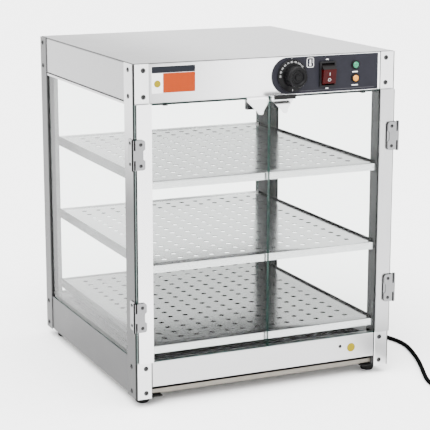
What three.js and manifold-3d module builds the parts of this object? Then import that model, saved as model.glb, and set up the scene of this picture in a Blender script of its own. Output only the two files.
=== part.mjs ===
// Countertop heated display case: a sheet-metal header and base on four corner posts,
// glass on three sides, two glass doors in front and three shelves inside.
// Millimetres. X to the right as seen from the front, Y to the back, Z up.
// The pieces are laid out about the middle of the posts, on the floor. The whole case is then
// moved back, so that the origin is under the middle of its depth with the knob included.

import * as THREE from 'three';
import { mergeVertices } from 'three/addons/utils/BufferGeometryUtils.js';
import Module from 'manifold-3d';

const wasm = await Module();
wasm.setup();

// Driving dimensions
const WIDTH = 500;
const DEPTH = 500;
const HEIGHT = 600;
const SHEET = 1.2;
const THIN_SHEET = 0.8;
const CLEARANCE = 0.3;
const BEND_RADIUS = 2.5;
const BEND_STEPS = 3;

const HALF_WIDTH = WIDTH / 2;
const HALF_DEPTH = DEPTH / 2;
const SKIN = HALF_WIDTH - SHEET - CLEARANCE; // outer face of panels that lie inside the posts

// Posts and feet
const FOOT = { radius: 12, height: 16, edge: 3.5, x: 226, y: 216 };
const FOOT_PLATE = { inner: 199, thick: 1.8 };
const POST_FACE = 30;
const POST_FRONT_SIDE = 42;
const POST_RETURN = 28;
const REAR_POST_LEG = 34;
const POST_TOP = HEIGHT - 1;

// Header and base
const HEADER_BOTTOM = 532.5;
const ROOF_RADIUS = 3;
const DECK_TOP = 82;
const BASE_PANEL = { bottom: 17, top: 85, flange: 12 };
const FRONT_PANEL = { halfWidth: 219.2, bottom: 35.3, top: 82, lip: 12 };
const PAN = { bottom: 19.6, top: 28.7, front: 240 };
const DECK_FLANGE = 12;
const NOTCH = { x: POST_FACE + CLEARANCE + 0.1, y: POST_RETURN + CLEARANCE + 0.1 };

// Glass
const GLASS = 4;
const PANE = { bottom: 82.5, top: 531, outer: SKIN - SHEET - 0.4 };
const REAR_PANE_HALF = 218.2;

// Shelves
const SHELF = { halfWidth: 217, front: -247, back: 240, lip: 13.5, sheet: 1 };
const SHELF_TOPS = { upper: 398.7, middle: 252.6, lower: 108.9 };
const RAIL = { outer: 219.7, ledge: 13.7, rise: 18, front: -240, back: 248.3, crossbar: 242.4 };

// Doors
const DOOR = { bottom: 83, top: 531.5, meeting: 1, edge: 248.5, back: -250.6 };
const DOOR_FRONT = DOOR.back - GLASS;
const STILE = { inner: 219.3, outer: 247, front: -256.3, thick: 1.4, bottom: 82.5, top: 532 };
const PULL = { centre: 23.2, top: 40, bottom: 12, drop: 28, lean: 13 };
const CATCH = { starts: [-40.5, 9.5], length: 38, body: 14, drop: 16, depth: 12.5, gap: 1.8 };

// Hinges
const HINGE = {
  pinX: 254,
  pinY: -257.6,
  half: 25.5,
  knuckle: 3,
  bore: 1.8,
  pin: 1.5,
  sheet: 1.3,
  middle: 8.5,
  heights: { upper: 448, lower: 166 },
};
const PACKER_REACH = { left: 18, right: 22 };

// Controls
const PANEL = { left: 5.9, right: 215.7, bottom: 533.5, top: 597.5, thick: 0.5 };
const PANEL_FRONT = -SKIN - CLEARANCE - PANEL.thick;
const KNOB = { x: 44.5, z: 565.5, skirt: 28, shaft: 3, face: 27.5 };
const SWITCH = { x: 113.8, z: 565, halfWidth: 15.8, halfHeight: 22.4, bezel: 3.8, pivotY: -247 };
const SWITCH_BODY = { inset: 1.8, back: -224 };
const SWITCH_WINDOW = { inset: 2.9, back: -226.5 };
const SWITCH_HOLE_INSET = 1.4;
const LAMP = { x: 169.5, z: { green: 578.4, amber: 555 }, lens: 6.5, barrel: 5.5 };

// Cord
const CORD_RADIUS = 4;
const CORD_EXIT = { y: 150, z: 50 };
const COIL = { x: 334, y: -415, outer: 52, inner: 44, top: 16.6 };
const CORD_ROUTE = [
  [285.3, 150, 50],
  [300, 150, 48.8],
  [314, 148.5, 44.5],
  [327, 144.5, 37],
  [338, 137, 28],
  [346, 126, 19],
  [350, 112, 11.5],
  [351, 96, 6.4],
  [350, 78, 4.3],
  [348, 52, 4.1],
  [346, 22, 4.1],
  [346, -10, 4.1],
  [348.5, -42, 4.1],
  [355.5, -72, 4.1],
  [361.5, -98, 4.1],
  [362, -128, 4.1],
  [355.5, -158, 4.1],
  [345, -192, 4.1],
  [332, -228, 4.1],
  [317.5, -262, 4.1],
  [303, -294, 4.1],
  [290.5, -324, 4.1],
  [283.5, -352, 4.1],
  [282, -381.5, 4.1],
];

// Wiring, from behind the controls down the right front post and back to the terminal block
const LOOM_RADIUS = 4;
const LOOM_POST = { x: 231, y: -236 };
const TERMINAL = { x: 229, z: 46, front: 26 };
const LOOM_ROUTE = [
  [84, -212, 556],
  [120, -212, 553],
  [160, -213, 549],
  [196, -217, 546],
  [220, -228, 541],
  [LOOM_POST.x - 1, LOOM_POST.y, 525],
  [LOOM_POST.x, LOOM_POST.y, 490],
  [LOOM_POST.x, LOOM_POST.y, 400],
  [LOOM_POST.x, LOOM_POST.y, 300],
  [LOOM_POST.x, LOOM_POST.y, 200],
  [LOOM_POST.x, LOOM_POST.y, 110],
  [LOOM_POST.x, LOOM_POST.y + 3, 72],
  [LOOM_POST.x, LOOM_POST.y + 18, 51],
  [LOOM_POST.x, LOOM_POST.y + 44, TERMINAL.z],
  [LOOM_POST.x, -100, TERMINAL.z],
  [LOOM_POST.x, 0, TERMINAL.z],
  [LOOM_POST.x, 80, TERMINAL.z],
  [LOOM_POST.x, CORD_EXIT.y - TERMINAL.front - 0.4, TERMINAL.z],
];

// Heating element under the deck
const HEATER = { level: 62, right: 196, left: -150, y: 140, bend: 40, radius: 4 };
const HANGER = { x: 90, half: 8, past: 14 };

// Finishes
const finish = (color, roughness, metalness, opacity = 1) => () =>
  new THREE.MeshStandardMaterial({ color, roughness, metalness, opacity, transparent: opacity < 1 });
const steel = finish(0xd8d9da, 0.32, 1);
const polished = finish(0xc9cacc, 0.12, 1);
const galvanised = finish(0xb9b3a8, 0.45, 1);
const glass = finish(0xdfeee9, 0.05, 0, 0.3);
const blackPlastic = finish(0x141416, 0.45, 0);
const rubber = finish(0x0d0d0e, 0.8, 0);
const charcoal = finish(0x3c3c44, 0.5, 0);
const redPlastic = finish(0x8a0710, 0.2, 0);
const greenLens = finish(0x2fae86, 0.2, 0);
const amberLens = finish(0xf2a02a, 0.2, 0);
const ceramic = finish(0xe8e2d2, 0.6, 0);

const group = new THREE.Group();

function add(name, geometry, material, x = 0, y = 0, z = 0) {
  const mesh = new THREE.Mesh(geometry, material());
  mesh.name = name;
  mesh.position.set(x, y, z);
  group.add(mesh);
}

// Geometry helpers

function box(x, y, z) {
  const geometry = new THREE.BoxGeometry(x[1] - x[0], y[1] - y[0], z[1] - z[0]);
  return geometry.translate((x[0] + x[1]) / 2, (y[0] + y[1]) / 2, (z[0] + z[1]) / 2);
}

function extrude(points, length, holes = []) {
  const shape = new THREE.Shape(points.map(([u, v]) => new THREE.Vector2(u, v)));
  shape.holes = holes.map((hole) => new THREE.Path(hole.map(([u, v]) => new THREE.Vector2(u, v))));
  return new THREE.ExtrudeGeometry(shape, { depth: length, bevelEnabled: false });
}

// Outline in X and Y, pushed along Z
function prismZ(points, z, holes = []) {
  return extrude(points, z[1] - z[0], holes).translate(0, 0, z[0]);
}

// Outline in Y and Z, pushed along X
function prismX(points, x) {
  const turn = new THREE.Matrix4().set(0, 0, 1, 0, 1, 0, 0, 0, 0, 1, 0, 0, 0, 0, 0, 1);
  return extrude(points, x[1] - x[0]).applyMatrix4(turn).translate(x[0], 0, 0);
}

// Outline in X and Z, pushed along Y
function prismY(points, y, holes = []) {
  return extrude(points, y[1] - y[0], holes).rotateX(Math.PI / 2).translate(0, y[1], 0);
}

function arc(u, v, radius, from, to, steps) {
  return Array.from({ length: steps + 1 }, (_, i) => {
    const angle = THREE.MathUtils.degToRad(from + ((to - from) * i) / steps);
    return [u + radius * Math.cos(angle), v + radius * Math.sin(angle)];
  });
}

function roundedRectangle(u, v, radius, steps = 3) {
  return [
    ...arc(u[1] - radius, v[0] + radius, radius, -90, 0, steps),
    ...arc(u[1] - radius, v[1] - radius, radius, 0, 90, steps),
    ...arc(u[0] + radius, v[1] - radius, radius, 90, 180, steps),
    ...arc(u[0] + radius, v[0] + radius, radius, 180, 270, steps),
  ];
}

// Section of a bent sheet. The path runs along one face, the sheet lies to its left,
// and the bends are rounded: radius is that of the outer face of each bend.
function bentSheet(path, sheet = SHEET, radius = BEND_RADIUS) {
  const corners = path.map(([u, v]) => new THREE.Vector2(u, v));
  const face = [];
  const back = [];
  const place = (point, normal) => {
    face.push([point.x, point.y]);
    back.push([point.x + normal.x * sheet, point.y + normal.y * sheet]);
  };
  const heading = (i) => corners[i + 1].clone().sub(corners[i]).normalize();
  const leftOf = (d) => new THREE.Vector2(-d.y, d.x);
  place(corners[0], leftOf(heading(0)));
  for (let i = 1; i < corners.length - 1; i += 1) {
    const before = heading(i - 1);
    const after = heading(i);
    const turn = Math.atan2(before.cross(after), before.dot(after));
    const faceRadius = turn > 0 ? radius : radius - sheet;
    const setback = faceRadius * Math.tan(Math.abs(turn) / 2);
    const start = corners[i].clone().addScaledVector(before, -setback);
    const towards = leftOf(before).multiplyScalar(Math.sign(turn));
    const centre = start.clone().addScaledVector(towards, faceRadius);
    for (let step = 0; step <= BEND_STEPS; step += 1) {
      const swing = (turn * step) / BEND_STEPS;
      const point = start.clone().rotateAround(centre, swing);
      place(point, leftOf(before).rotateAround(new THREE.Vector2(), swing));
    }
  }
  place(corners.at(-1), leftOf(heading(corners.length - 2)));
  return [...face, ...back.reverse()];
}

const mirrored = (points, side) => points.map(([u, v]) => [side * u, v]);

function solid(geometry) {
  const bare = geometry.clone();
  bare.deleteAttribute('normal');
  bare.deleteAttribute('uv');
  const merged = mergeVertices(bare, 1e-4);
  return new wasm.Manifold(
    new wasm.Mesh({
      numProp: 3,
      vertProperties: new Float32Array(merged.attributes.position.array),
      triVerts: new Uint32Array(merged.index.array),
    }),
  );
}

function shape(manifold) {
  const mesh = manifold.getMesh();
  const geometry = new THREE.BufferGeometry();
  geometry.setAttribute('position', new THREE.BufferAttribute(mesh.vertProperties, 3));
  geometry.setIndex(new THREE.BufferAttribute(mesh.triVerts, 1));
  return geometry;
}

function join(...parts) {
  return shape(parts.map(solid).reduce((whole, next) => whole.add(next)));
}

function cut(body, ...tools) {
  return shape(tools.map(solid).reduce((left, tool) => left.subtract(tool), solid(body)));
}

function common(a, b) {
  return shape(solid(a).intersect(solid(b)));
}

// Four folded walls round a flat sheet. z runs from the outside of the flat sheet to the
// edge of the walls, so it may rise (a tray) or fall (a lid).
function foldedTray(x, y, z, sheet = SHEET, radius = BEND_RADIUS) {
  const outline = (side, floor, rim, corner) => {
    const up = Math.sign(rim - floor);
    const near = arc(side[0] + corner, floor + up * corner, corner, 180, 180 + up * 90, BEND_STEPS);
    const far = arc(side[1] - corner, floor + up * corner, corner, up * -90, 0, BEND_STEPS);
    return [[side[0], rim], ...near, ...far, [side[1], rim]];
  };
  const block = (inset, rim) => {
    const up = Math.sign(z[1] - z[0]);
    const corner = radius - inset;
    const floor = z[0] + up * inset;
    const sideX = [x[0] + inset, x[1] - inset];
    const sideY = [y[0] + inset, y[1] - inset];
    return common(
      prismY(outline(sideX, floor, rim, corner), sideY),
      prismX(outline(sideY, floor, rim, corner), sideX),
    );
  };
  const past = z[1] + Math.sign(z[1] - z[0]);
  return cut(block(0, z[1]), block(sheet, past));
}

function lathe(profile, steps) {
  return new THREE.LatheGeometry(
    profile.map(([r, h]) => new THREE.Vector2(r, h)),
    steps,
  );
}

// Turned about the Z axis
const turnedZ = (profile, steps) => lathe(profile, steps).rotateX(Math.PI / 2);

// Turned about the Y axis, with heights in the profile measured along -Y, to the front
const turnedFront = (profile, steps) => lathe(profile, steps).rotateX(Math.PI);

function cylinderFront(radius, x, z, y, steps = 24) {
  const length = y[1] - y[0];
  return new THREE.CylinderGeometry(radius, radius, length, steps).translate(x, y[0] + length / 2, z);
}

function tube(points, radius, sides, steps) {
  const curve = new THREE.CatmullRomCurve3(points.map((p) => new THREE.Vector3(...p)));
  const ring = Array.from({ length: sides }, (_, i) => {
    const angle = (2 * Math.PI * i) / sides;
    return new THREE.Vector2(radius * Math.cos(angle), radius * Math.sin(angle));
  });
  return new THREE.ExtrudeGeometry(new THREE.Shape(ring), { steps, extrudePath: curve });
}

// The cut-outs at the two front corners, where the posts pass through a flat panel
function frontNotches(z) {
  return [-1, 1].map((side) => {
    const inner = side * (HALF_WIDTH - NOTCH.x);
    const outer = side * (HALF_WIDTH + 1);
    const x = [inner, outer].sort((a, b) => a - b);
    return box(x, [-HALF_DEPTH - 1, -HALF_DEPTH + NOTCH.y], z);
  });
}

// Frame

function frontPost(side) {
  const face = HALF_WIDTH - POST_FACE;
  const section = bentSheet([
    [face, -HALF_DEPTH + POST_RETURN],
    [face, -HALF_DEPTH],
    [HALF_WIDTH, -HALF_DEPTH],
    [HALF_WIDTH, -HALF_DEPTH + POST_FRONT_SIDE],
  ]);
  const behind = -HALF_DEPTH + SHEET;
  const returnX = mirrored([[face - 1, 0], [face + BEND_RADIUS, 0]], side).map(([u]) => u);
  returnX.sort((a, b) => a - b);
  const returnY = [behind, behind + POST_RETURN];
  return cut(
    prismZ(mirrored(section, side), [FOOT.height, POST_TOP]),
    box(returnX, returnY, [HEADER_BOTTOM - 1, POST_TOP + 1]),
    box(returnX, returnY, [FOOT.height - 1, FOOT.height + FOOT_PLATE.thick + CLEARANCE]),
  );
}

function rearPost(side) {
  const section = bentSheet([
    [HALF_WIDTH, HALF_DEPTH - REAR_POST_LEG],
    [HALF_WIDTH, HALF_DEPTH],
    [HALF_WIDTH - REAR_POST_LEG, HALF_DEPTH],
  ]);
  return prismZ(mirrored(section, side), [FOOT.height, POST_TOP]);
}

function foot(sideX, sideY) {
  const pad = turnedZ(
    [
      [0, 0],
      ...arc(FOOT.radius - FOOT.edge, FOOT.edge, FOOT.edge, -90, 0, BEND_STEPS),
      [FOOT.radius, FOOT.height + 1],
      [0, FOOT.height + 1],
    ],
    24,
  ).translate(sideX * FOOT.x, sideY * FOOT.y, 0);
  const outer = SKIN - BEND_RADIUS - CLEARANCE;
  const sorted = (side) => [side * FOOT_PLATE.inner, side * outer].sort((a, b) => a - b);
  const z = [FOOT.height, FOOT.height + FOOT_PLATE.thick];
  return join(pad, box(sorted(sideX), sorted(sideY), z));
}

function buildFrame() {
  for (const [label, side] of [['left', -1], ['right', 1]]) {
    add(`post_front_${label}`, frontPost(side), steel);
    add(`post_rear_${label}`, rearPost(side), steel);
    add(`foot_front_${label}`, foot(side, -1), rubber);
    add(`foot_rear_${label}`, foot(side, 1), rubber);
  }
}

// Header

function switchOutline(inset) {
  const { x, z, halfWidth, halfHeight } = SWITCH;
  return {
    x: [x - halfWidth + inset, x + halfWidth - inset],
    z: [z - halfHeight + inset, z + halfHeight - inset],
  };
}

function frontOpenings(y) {
  const switchHole = switchOutline(SWITCH_HOLE_INSET);
  return [
    cylinderFront(2 * KNOB.shaft, KNOB.x, KNOB.z, y),
    box(switchHole.x, y, switchHole.z),
    cylinderFront(LAMP.barrel + 0.4, LAMP.x, LAMP.z.green, y),
    cylinderFront(LAMP.barrel + 0.4, LAMP.x, LAMP.z.amber, y),
  ];
}

function headerShell() {
  const lid = foldedTray([-SKIN, SKIN], [-SKIN, SKIN], [HEIGHT, HEADER_BOTTOM], SHEET, ROOF_RADIUS);
  const corners = roundedRectangle([-SKIN, SKIN], [-SKIN, SKIN], BEND_RADIUS - SHEET);
  const rounded = common(lid, prismZ(corners, [HEADER_BOTTOM - 1, HEIGHT + 1]));
  return cut(rounded, ...frontOpenings([-SKIN - 1, -SKIN + SHEET + 1]));
}

function headerUnderside() {
  const reach = SKIN - SHEET - CLEARANCE;
  const z = [HEADER_BOTTOM + CLEARANCE, HEADER_BOTTOM + CLEARANCE + SHEET];
  return cut(box([-reach, reach], [-reach, reach], z), ...frontNotches([z[0] - 1, z[1] + 1]));
}

function controlPanel() {
  const radius = (PANEL.top - PANEL.bottom) / 2;
  const middle = (PANEL.top + PANEL.bottom) / 2;
  const outline = [
    [PANEL.right, PANEL.bottom],
    [PANEL.right, PANEL.top],
    ...arc(PANEL.left + radius, middle, radius, 90, 270, 20),
  ];
  const y = [PANEL_FRONT, PANEL_FRONT + PANEL.thick];
  return cut(prismY(outline, y), ...frontOpenings([y[0] - 1, y[1] + 1]));
}

function knob() {
  const { face } = KNOB;
  const profile = [
    [0, -13],
    [KNOB.shaft, -13],
    [KNOB.shaft, 1],
    [KNOB.skirt - 0.6, 1],
    [KNOB.skirt, 1.6],
    [KNOB.skirt, 3],
    [KNOB.skirt - 1, 4],
    [20.5, 4.6],
    [18.9, 6.5],
    [17.9, face - 1.6],
    [16.6, face - 0.3],
    [15, face - 0.4],
    [11, face - 2.4],
    [10.5, face - 4.4],
    [6, face - 4.4],
    [5, face - 2],
    [0, face - 2],
  ];
  return turnedFront(profile, 48);
}

function thermostat() {
  const front = -SKIN + SHEET + CLEARANCE;
  const plate = box([KNOB.x - 24, KNOB.x + 24], [front, front + 3], [KNOB.z - 13, KNOB.z + 13]);
  const body = prismY(
    roundedRectangle([KNOB.x - 20, KNOB.x + 20], [KNOB.z - 17, KNOB.z + 17], 4),
    [front + 2, front + 32],
  );
  const socket = cylinderFront(KNOB.shaft + 0.4, KNOB.x, KNOB.z, [front - 1, front + 14], 16);
  return cut(join(plate, body), socket);
}

function switchHousing() {
  const back = PANEL_FRONT - CLEARANCE;
  const rim = switchOutline(0);
  const sides = switchOutline(SWITCH_BODY.inset);
  const inside = switchOutline(SWITCH_WINDOW.inset);
  const bezel = prismY(roundedRectangle(rim.x, rim.z, 2), [back - SWITCH.bezel, back]);
  const body = prismY(roundedRectangle(sides.x, sides.z, 1), [back - 1, SWITCH_BODY.back]);
  const window = box(inside.x, [back - SWITCH.bezel - 1, SWITCH_WINDOW.back], inside.z);
  return cut(join(bezel, body), window);
}

// The rocker rests with its upper end pushed in and its ridge above the middle
function switchRocker() {
  const profile = [
    [3, -15.5],
    [-8.5, -16.8],
    [-10.8, -15.8],
    [-14.6, 7.6],
    [-14.2, 9.4],
    [-2, 18.7],
    [0.5, 18.9],
    [3, 17],
  ];
  return prismX(profile, [-12.5, 12.5]);
}

function lamp() {
  const front = 2;
  const profile = [
    [0, -24],
    [LAMP.barrel, -24],
    [LAMP.barrel, 0.4],
    [LAMP.lens + 1.2, 0.4],
    [LAMP.lens + 1.2, front],
    ...arc(0, front - 3, LAMP.lens, 40, 80, 4).map(([r, h]) => [r * 1.05, h + 1.2]),
    [0, front + 4.8],
  ];
  return turnedFront(profile, 24);
}

const wiringLoom = () => tube(LOOM_ROUTE, LOOM_RADIUS, 8, 72);

function buildHeader() {
  add('header_shell', headerShell(), steel);
  add('header_underside', headerUnderside(), steel);
  add('control_panel', controlPanel(), charcoal);
  add('thermostat', thermostat(), blackPlastic);
  add('thermostat_knob', knob(), blackPlastic, KNOB.x, PANEL_FRONT, KNOB.z);
  add('switch_housing', switchHousing(), blackPlastic);
  add('switch_rocker', switchRocker(), redPlastic, SWITCH.x, SWITCH.pivotY, SWITCH.z);
  add('lamp_green', lamp(), greenLens, LAMP.x, PANEL_FRONT, LAMP.z.green);
  add('lamp_amber', lamp(), amberLens, LAMP.x, PANEL_FRONT, LAMP.z.amber);
  add('wiring_loom', wiringLoom(), blackPlastic);
}

// Base

function baseSidePanel(side) {
  const { bottom, top, flange } = BASE_PANEL;
  const section = mirrored(bentSheet([[SKIN - flange, bottom], [SKIN, bottom], [SKIN, top]]), side);
  const reach = SKIN - SHEET - CLEARANCE;
  const panel = prismY(section, [-reach, reach]);
  const flangeX = [side * (SKIN - flange - 1), side * (SKIN - BEND_RADIUS)].sort((a, b) => a - b);
  const flangeZ = [bottom - 1, bottom + SHEET + 1];
  const clear = FOOT_PLATE.inner - 2;
  const corners = [[-reach - 1, -clear], [clear, reach + 1]].map((y) => box(flangeX, y, flangeZ));
  const entry = new THREE.CylinderGeometry(6.6, 6.6, 20, 20)
    .rotateZ(Math.PI / 2)
    .translate(SKIN, CORD_EXIT.y, CORD_EXIT.z);
  return side > 0 ? cut(panel, ...corners, entry) : cut(panel, ...corners);
}

function baseRearPanel() {
  const { bottom, top, flange } = BASE_PANEL;
  const reach = SKIN - BEND_RADIUS - CLEARANCE;
  const section = bentSheet([[SKIN - flange, bottom], [SKIN, bottom], [SKIN, top]]);
  const clear = FOOT_PLATE.inner - 2;
  const flangeY = [SKIN - flange - 1, SKIN - BEND_RADIUS];
  const flangeZ = [bottom - 1, bottom + SHEET + 1];
  const corners = [[-reach - 1, -clear], [clear, reach + 1]].map((x) => box(x, flangeY, flangeZ));
  return cut(prismX(section, [-reach, reach]), ...corners);
}

function baseFrontPanel() {
  const { halfWidth, bottom, top, lip } = FRONT_PANEL;
  const front = -HALF_DEPTH + 0.6;
  const section = bentSheet([
    [front + lip, top],
    [front, top],
    [front, bottom],
    [front + lip, bottom],
  ]);
  return prismX(section, [-halfWidth, halfWidth]);
}

function deck() {
  const reach = SKIN - SHEET - CLEARANCE;
  const front = -HALF_DEPTH + 0.6 + FRONT_PANEL.lip + CLEARANCE;
  const tray = foldedTray([-reach, reach], [front, reach], [DECK_TOP, DECK_TOP - DECK_FLANGE]);
  return cut(tray, ...frontNotches([DECK_TOP - DECK_FLANGE - 1, DECK_TOP + 1]));
}

function bottomPan() {
  const reach = SKIN - SHEET - CLEARANCE;
  const tray = foldedTray([-reach, reach], [-PAN.front, reach], [PAN.bottom, PAN.top]);
  return cut(tray, ...frontNotches([PAN.bottom - 1, PAN.top + 1]));
}

function heatingElement() {
  const { level, right, left, y, bend, radius } = HEATER;
  const { x, half, past } = HANGER;
  const at = (u, v) => new THREE.Vector3(u, v, level);
  const far = left - bend;
  const curve = new THREE.CurvePath();
  curve.add(new THREE.LineCurve3(at(right, y), at(left, y)));
  curve.add(new THREE.QuadraticBezierCurve3(at(left, y), at(far, y), at(far, y - bend)));
  curve.add(new THREE.LineCurve3(at(far, y - bend), at(far, bend - y)));
  curve.add(new THREE.QuadraticBezierCurve3(at(far, bend - y), at(far, -y), at(left, -y)));
  curve.add(new THREE.LineCurve3(at(left, -y), at(right, -y)));
  const points = curve.getSpacedPoints(48).map((p) => [p.x, p.y, p.z]);
  const rod = tube(points, radius, 8, 64);
  const strap = (u) => box([u - half, u + half], [-y - past, y + past], [level + 3, level + 5]);
  const pegZ = [level + 4, DECK_TOP - SHEET - CLEARANCE];
  const peg = (u, v) => box([u - half, u + half], [v - 2, v + 2], pegZ);
  const holders = [-x, x].flatMap((u) => [strap(u), peg(u, y + 10), peg(u, -y - 10)]);
  return join(rod, ...holders);
}

function buildBase() {
  add('base_front_panel', baseFrontPanel(), steel);
  add('base_side_panel_left', baseSidePanel(-1), steel);
  add('base_side_panel_right', baseSidePanel(1), steel);
  add('base_rear_panel', baseRearPanel(), steel);
  add('deck', deck(), polished);
  add('bottom_pan', bottomPan(), galvanised);
  add('heating_element', heatingElement(), steel);
  const block = box([-15, 13], [-TERMINAL.front, TERMINAL.front], [-14, 14]);
  add('terminal_block', block, ceramic, TERMINAL.x, CORD_EXIT.y, TERMINAL.z);
}

// Glass

function buildGlass() {
  const inner = PANE.outer - GLASS;
  const long = SKIN - SHEET - CLEARANCE;
  const side = box([0, GLASS], [-long, long], [0, PANE.top - PANE.bottom]);
  const rear = box([-REAR_PANE_HALF, REAR_PANE_HALF], [0, GLASS], [0, PANE.top - PANE.bottom]);
  add('glass_left', side, glass, -PANE.outer, 0, PANE.bottom);
  add('glass_right', side.clone(), glass, inner, 0, PANE.bottom);
  add('glass_rear', rear, glass, 0, inner, PANE.bottom);
}

// Shelves

function shelf() {
  const { halfWidth, front, back, lip, sheet } = SHELF;
  return foldedTray([-halfWidth, halfWidth], [front, back], [0, -lip], sheet, 2);
}

// A rail of angle down each side, joined by a crossbar at the back. The shelf's walls stand
// on the ledge. The ledge stops inside the upright web, so the corner is slightly stepped.
function shelfSupport() {
  const { outer, ledge, rise, front, back, crossbar } = RAIL;
  const step = SHEET / 2;
  const bottom = -CLEARANCE - SHEET;
  const inner = outer - SHEET;
  const rearInner = crossbar - SHEET;
  const web = [
    [outer, front],
    [outer, back],
    [inner, back],
    [inner, crossbar],
    [-inner, crossbar],
    [-inner, back],
    [-outer, back],
    [-outer, front],
    [-inner, front],
    [-inner, rearInner],
    [inner, rearInner],
    [inner, front],
  ];
  const floor = [
    [outer - step, front + step],
    [outer - step, crossbar - step],
    [step - outer, crossbar - step],
    [step - outer, front + step],
    [ledge - outer, front + step],
    [ledge - outer, crossbar - ledge],
    [outer - ledge, crossbar - ledge],
    [outer - ledge, front + step],
  ];
  return join(
    prismZ(web, [bottom + step, bottom + rise]),
    prismZ(floor, [bottom, bottom + SHEET]),
  );
}

function buildShelves() {
  for (const [label, top] of Object.entries(SHELF_TOPS)) {
    add(`shelf_${label}`, shelf(), polished, 0, 0, top);
    add(`shelf_support_${label}`, shelfSupport(), steel, 0, 0, top - SHELF.lip);
  }
}

// Doors

function doorPull() {
  const top = DOOR.top + CLEARANCE + THIN_SHEET;
  const hook = DOOR.back + CLEARANCE + THIN_SHEET;
  const front = DOOR_FRONT - CLEARANCE - THIN_SHEET;
  const section = bentSheet(
    [
      [hook, top - 9],
      [hook, top],
      [front, top],
      [front, top - 4],
      [front - PULL.lean, top - PULL.drop],
    ],
    THIN_SHEET,
    1.2,
  );
  const wide = PULL.top / 2;
  const narrow = PULL.bottom / 2;
  const low = top - PULL.drop - 1;
  const tip = arc(0, low + narrow, narrow, 180, 360, 8);
  const outline = [[wide, top + 1], [-wide, top + 1], [-wide, top - 8], ...tip, [wide, top - 8]];
  return common(prismX(section, [-wide, wide]), prismY(outline, [front - PULL.lean - 5, hook + 5]));
}

function doorCatch() {
  const top = -CLEARANCE;
  const bar = box([0, CATCH.length], [0, CATCH.depth], [top - 5.5, top]);
  const body = box([1, 1 + CATCH.body], [0, CATCH.depth - 2], [top - 5.5 - CATCH.drop, top - 5]);
  return join(bar, body);
}

function buildDoors() {
  const height = DOOR.top - DOOR.bottom;
  for (const [label, side] of [['left', -1], ['right', 1]]) {
    const paneX = [side * DOOR.meeting, side * DOOR.edge].sort((a, b) => a - b);
    const stileX = [side * STILE.inner, side * STILE.outer].sort((a, b) => a - b);
    const stileY = [STILE.front, STILE.front + STILE.thick];
    add(`door_glass_${label}`, box(paneX, [0, GLASS], [0, height]), glass, 0, DOOR_FRONT, DOOR.bottom);
    add(`door_stile_${label}`, box(stileX, stileY, [STILE.bottom, STILE.top]), steel);
    add(`door_pull_${label}`, doorPull(), steel, side * PULL.centre, 0, 0);
  }
  add('door_catch_left', doorCatch(), blackPlastic, CATCH.starts[0], DOOR.back + CATCH.gap, HEADER_BOTTOM);
  add('door_catch_right', doorCatch(), blackPlastic, CATCH.starts[1], DOOR.back + CATCH.gap, HEADER_BOTTOM);
}

// Hinges, each built about its own pin, with the pin at the origin

const knuckle = (z) => prismZ(arc(0, 0, HINGE.knuckle, 0, 340, 17), z);
const hingeBore = () => prismZ(arc(0, 0, HINGE.bore, 0, 330, 11), [-HINGE.half - 1, HINGE.half + 1]);

function doorLeaf(side, packerReach) {
  const { half, knuckle: r, sheet, middle } = HINGE;
  const reach = [-3.6, -21];
  const waist = 3.5;
  const outline = [
    [reach[0], -half],
    ...arc(reach[1] + 4, -half + 4, 4, 270, 180, 3),
    [reach[1], -10],
    [reach[1] + waist, -7],
    [reach[1] + waist, 7],
    [reach[1], 10],
    ...arc(reach[1] + 4, half - 4, 4, 180, 90, 3),
    [reach[0], half],
  ];
  const plate = prismY(mirrored(outline, side), [-r, -r + sheet]);
  const tab = box([side * (reach[0] - 1), 0].sort((a, b) => a - b), [-r, -r + sheet], [-middle, middle]);
  const standOff = STILE.front - CLEARANCE - HINGE.pinY;
  const packer = prismY(
    mirrored(roundedRectangle([-packerReach, -7.2], [-half + 1, half - 1], 4), side),
    [-r + sheet - 0.2, standOff],
  );
  return cut(join(plate, tab, packer, knuckle([-middle, middle])), hingeBore());
}

function frameLeaf(side) {
  const { half, knuckle: r, sheet, middle } = HINGE;
  const x = [HALF_WIDTH + CLEARANCE - HINGE.pinX, HALF_WIDTH + CLEARANCE + sheet - HINGE.pinX];
  const clear = r + 0.8;
  const depth = 29;
  const outline = [
    [0, -half],
    ...arc(depth - 4, -half + 4, 4, 270, 360, 3),
    ...arc(depth - 4, half - 4, 4, 0, 90, 3),
    [0, half],
    [0, middle + CLEARANCE],
    [clear, middle + CLEARANCE],
    [clear, -middle - CLEARANCE],
    [0, -middle - CLEARANCE],
  ];
  const plate = prismX(outline, side > 0 ? x : [-x[1], -x[0]]);
  const upper = knuckle([middle + CLEARANCE, half]);
  const lower = knuckle([-half, -middle - CLEARANCE]);
  return cut(join(plate, upper, lower), hingeBore());
}

function hingePin() {
  const { half, pin, knuckle: r } = HINGE;
  const end = half + CLEARANCE;
  const profile = [
    [0, -end - 1],
    [r - 0.5, -end - 1],
    [r - 0.5, -end],
    [pin, -end],
    [pin, end],
    [r - 0.5, end],
    [r - 0.5, end + 1],
    [0, end + 1],
  ];
  return turnedZ(profile, 16);
}

function buildHinges() {
  for (const [label, side] of [['left', -1], ['right', 1]]) {
    for (const [level, z] of Object.entries(HINGE.heights)) {
      const place = [side * HINGE.pinX, HINGE.pinY, z];
      add(`hinge_${label}_${level}_frame_leaf`, frameLeaf(side), steel, ...place);
      add(`hinge_${label}_${level}_door_leaf`, doorLeaf(side, PACKER_REACH[label]), steel, ...place);
      add(`hinge_${label}_${level}_pin`, hingePin(), steel, ...place);
    }
  }
}

// Cord

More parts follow.
